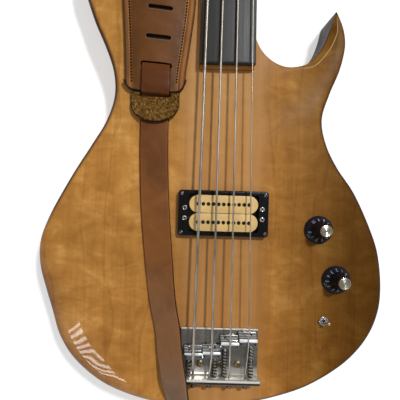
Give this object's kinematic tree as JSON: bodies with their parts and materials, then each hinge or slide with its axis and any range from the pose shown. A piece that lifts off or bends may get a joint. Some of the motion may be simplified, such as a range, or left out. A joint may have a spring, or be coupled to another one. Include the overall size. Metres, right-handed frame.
{
  "type": "fretless electric bass guitar",
  "caption": "Solid-body fretless electric bass guitar with set neck, humbucking pickup, adjustable bridge, geared tuners, control knobs, toggle switch and padded leather strap.",
  "frame": {"origin": "on the plane of the back, on the centre line, below the nominal end of the string scale", "axes": "+X to the treble side, +Y up the neck, +Z out of the face"},
  "size_m": [0.3489, 1.1166, 0.0676],
  "materials": {
    "body": "clear gloss lacquer over figured maple",
    "neck": "clear gloss lacquer over figured maple",
    "fingerboard": "oiled satin",
    "nut": "polished",
    "truss_rod": "plain",
    "truss_rod_cover": "moulded black",
    "bridge_plate": "bright plate",
    "pickup_ring": "moulded black",
    "pickup_front_bobbin": "moulded cream",
    "pickup_rear_bobbin": "moulded cream",
    "pickup_baseplate": "plain",
    "volume_knob": "moulded black",
    "tone_knob": "moulded black",
    "volume_knob_cap": "bright plate",
    "tone_knob_cap": "bright plate",
    "volume_pot": "plain",
    "tone_pot": "plain",
    "volume_pot_shaft": "plain",
    "tone_pot_shaft": "plain",
    "switch_body": "plain",
    "switch_lever": "bright plate",
    "output_jack": "bright plate",
    "cavity_cover": "moulded black",
    "horn_strap_button": "bright plate",
    "tail_strap_button": "bright plate",
    "strap_pad": "waxed brown leather",
    "strap_tail": "waxed brown leather",
    "strap_flap": "raw tan suede",
    "string_E": "plain",
    "saddle_E": "bright plate",
    "intonation_screw_E": "bright plate",
    "intonation_spring_E": "plain",
    "tuner_base_E": "bright plate",
    "tuner_bushing_E": "bright plate",
    "tuner_key_E": "bright plate",
    "tuner_post_E": "bright plate",
    "string_A": "plain",
    "saddle_A": "bright plate",
    "intonation_screw_A": "bright plate",
    "intonation_spring_A": "plain",
    "tuner_base_A": "bright plate",
    "tuner_bushing_A": "bright plate",
    "tuner_key_A": "bright plate",
    "tuner_post_A": "bright plate",
    "string_D": "plain",
    "saddle_D": "bright plate",
    "intonation_screw_D": "bright plate",
    "intonation_spring_D": "plain",
    "tuner_base_D": "bright plate",
    "tuner_bushing_D": "bright plate",
    "tuner_key_D": "bright plate",
    "tuner_post_D": "bright plate",
    "string_G": "plain",
    "saddle_G": "bright plate",
    "intonation_screw_G": "bright plate",
    "intonation_spring_G": "plain",
    "tuner_base_G": "bright plate",
    "tuner_bushing_G": "bright plate",
    "tuner_key_G": "bright plate",
    "tuner_post_G": "bright plate"
  },
  "bodies": {
    "bass": {"body": "body", "bridge_plate": "bridge_plate", "cavity_cover": "cavity_cover", "fingerboard": "fingerboard", "horn_strap_button": "horn_strap_button", "intonation_spring_A": "intonation_spring_A", "intonation_spring_D": "intonation_spring_D", "intonation_spring_E": "intonation_spring_E", "intonation_spring_G": "intonation_spring_G", "neck": "neck", "nut": "nut", "output_jack": "output_jack", "pickup_ring": "pickup_ring", "strap_flap": "strap_flap", "strap_pad": "strap_pad", "strap_tail": "strap_tail", "string_A": "string_A", "string_D": "string_D", "string_E": "string_E", "string_G": "string_G", "switch_body": "switch_body", "tail_strap_button": "tail_strap_button", "tone_pot": "tone_pot", "truss_rod": "truss_rod", "truss_rod_cover": "truss_rod_cover", "tuner_base_A": "tuner_base_A", "tuner_base_D": "tuner_base_D", "tuner_base_E": "tuner_base_E", "tuner_base_G": "tuner_base_G", "tuner_bushing_A": "tuner_bushing_A", "tuner_bushing_D": "tuner_bushing_D", "tuner_bushing_E": "tuner_bushing_E", "tuner_bushing_G": "tuner_bushing_G", "volume_pot": "volume_pot"},
    "volume_knob": {"volume_knob": "volume_knob", "volume_knob_cap": "volume_knob_cap", "volume_pot_shaft": "volume_pot_shaft"},
    "tone_knob": {"tone_knob": "tone_knob", "tone_knob_cap": "tone_knob_cap", "tone_pot_shaft": "tone_pot_shaft"},
    "switch_lever": {"switch_lever": "switch_lever"},
    "pickup": {"pickup_front_bobbin": "pickup_front_bobbin", "pickup_rear_bobbin": "pickup_rear_bobbin", "pickup_baseplate": "pickup_baseplate"},
    "tuner_key_E": {"tuner_key_E": "tuner_key_E"},
    "tuner_post_E": {"tuner_post_E": "tuner_post_E"},
    "intonation_screw_E": {"intonation_screw_E": "intonation_screw_E"},
    "saddle_E": {"saddle_E": "saddle_E"},
    "tuner_key_A": {"tuner_key_A": "tuner_key_A"},
    "tuner_post_A": {"tuner_post_A": "tuner_post_A"},
    "intonation_screw_A": {"intonation_screw_A": "intonation_screw_A"},
    "saddle_A": {"saddle_A": "saddle_A"},
    "tuner_key_D": {"tuner_key_D": "tuner_key_D"},
    "tuner_post_D": {"tuner_post_D": "tuner_post_D"},
    "intonation_screw_D": {"intonation_screw_D": "intonation_screw_D"},
    "saddle_D": {"saddle_D": "saddle_D"},
    "tuner_key_G": {"tuner_key_G": "tuner_key_G"},
    "tuner_post_G": {"tuner_post_G": "tuner_post_G"},
    "intonation_screw_G": {"intonation_screw_G": "intonation_screw_G"},
    "saddle_G": {"saddle_G": "saddle_G"}
  },
  "joints": [
    {"name": "volume_turn", "type": "hinge", "parent": "bass", "child": "volume_knob", "pos_m": [0.096, 0.106, 0.0423], "axis": [0, 0, 1], "range_deg": [-150, 150]},
    {"name": "tone_turn", "type": "hinge", "parent": "bass", "child": "tone_knob", "pos_m": [0.1147, 0.0566, 0.0423], "axis": [0, 0, 1], "range_deg": [-150, 150]},
    {"name": "switch_flick", "type": "hinge", "parent": "bass", "child": "switch_lever", "pos_m": [0.103, 0.0154, 0.0445], "axis": [0, 1, 0], "range_deg": [-24, 0]},
    {"name": "pickup_height", "type": "slide", "parent": "bass", "child": "pickup", "axis": [0, 0, 1], "range_m": [-0.003, 0.001]},
    {"name": "key_turn_E", "type": "hinge", "parent": "bass", "child": "tuner_key_E", "pos_m": [-0.026, 0.9025, 0.0216], "axis": [1, 0, 0], "continuous": true},
    {"name": "post_turn_E", "type": "hinge", "parent": "bass", "child": "tuner_post_E", "pos_m": [-0.026, 0.916, 0.0216], "axis": [0, 0, 1], "continuous": true},
    {"name": "key_turn_A", "type": "hinge", "parent": "bass", "child": "tuner_key_A", "pos_m": [-0.028, 0.9595, 0.0216], "axis": [1, 0, 0], "continuous": true},
    {"name": "post_turn_A", "type": "hinge", "parent": "bass", "child": "tuner_post_A", "pos_m": [-0.028, 0.973, 0.0216], "axis": [0, 0, 1], "continuous": true},
    {"name": "key_turn_D", "type": "hinge", "parent": "bass", "child": "tuner_key_D", "pos_m": [0.028, 0.9595, 0.0216], "axis": [1, 0, 0], "continuous": true},
    {"name": "post_turn_D", "type": "hinge", "parent": "bass", "child": "tuner_post_D", "pos_m": [0.028, 0.973, 0.0216], "axis": [0, 0, 1], "continuous": true},
    {"name": "key_turn_G", "type": "hinge", "parent": "bass", "child": "tuner_key_G", "pos_m": [0.026, 0.9025, 0.0216], "axis": [1, 0, 0], "continuous": true},
    {"name": "post_turn_G", "type": "hinge", "parent": "bass", "child": "tuner_post_G", "pos_m": [0.026, 0.916, 0.0216], "axis": [0, 0, 1], "continuous": true},
    {"name": "saddle_slide_E", "type": "slide", "parent": "bass", "child": "saddle_E", "axis": [0, 1, 0], "range_m": [-0.0025, 0.002], "deforming": ["intonation_spring_E"]},
    {"name": "intonation_turn_E", "type": "hinge", "parent": "bass", "child": "intonation_screw_E", "pos_m": [-0.0306, -0.0448, 0.0523], "axis": [0, 1, 0], "range_deg": [-1441, 1801]},
    {"name": "saddle_slide_A", "type": "slide", "parent": "bass", "child": "saddle_A", "axis": [0, 1, 0], "range_m": [-0.0025, 0.002], "deforming": ["intonation_spring_A"]},
    {"name": "intonation_turn_A", "type": "hinge", "parent": "bass", "child": "intonation_screw_A", "pos_m": [-0.0052, -0.0448, 0.0523], "axis": [0, 1, 0], "range_deg": [-1441, 1801]},
    {"name": "saddle_slide_D", "type": "slide", "parent": "bass", "child": "saddle_D", "axis": [0, 1, 0], "range_m": [-0.0025, 0.002], "deforming": ["intonation_spring_D"]},
    {"name": "intonation_turn_D", "type": "hinge", "parent": "bass", "child": "intonation_screw_D", "pos_m": [0.0046, -0.0448, 0.0523], "axis": [0, 1, 0], "range_deg": [-1441, 1801]},
    {"name": "saddle_slide_G", "type": "slide", "parent": "bass", "child": "saddle_G", "axis": [0, 1, 0], "range_m": [-0.0025, 0.002], "deforming": ["intonation_spring_G"]},
    {"name": "intonation_turn_G", "type": "hinge", "parent": "bass", "child": "intonation_screw_G", "pos_m": [0.03, -0.0448, 0.0523], "axis": [0, 1, 0], "range_deg": [-1441, 1801]}
  ],
  "couplings": [
    {"joint": "post_turn_E", "follows": "key_turn_E", "ratio": -0.05},
    {"joint": "post_turn_A", "follows": "key_turn_A", "ratio": -0.05},
    {"joint": "post_turn_D", "follows": "key_turn_D", "ratio": -0.05},
    {"joint": "post_turn_G", "follows": "key_turn_G", "ratio": -0.05},
    {"joint": "intonation_turn_E", "follows": "saddle_slide_E", "rad_per_m": -12566},
    {"joint": "intonation_turn_A", "follows": "saddle_slide_A", "rad_per_m": -12566},
    {"joint": "intonation_turn_D", "follows": "saddle_slide_D", "rad_per_m": -12566},
    {"joint": "intonation_turn_G", "follows": "saddle_slide_G", "rad_per_m": -12566}
  ]
}
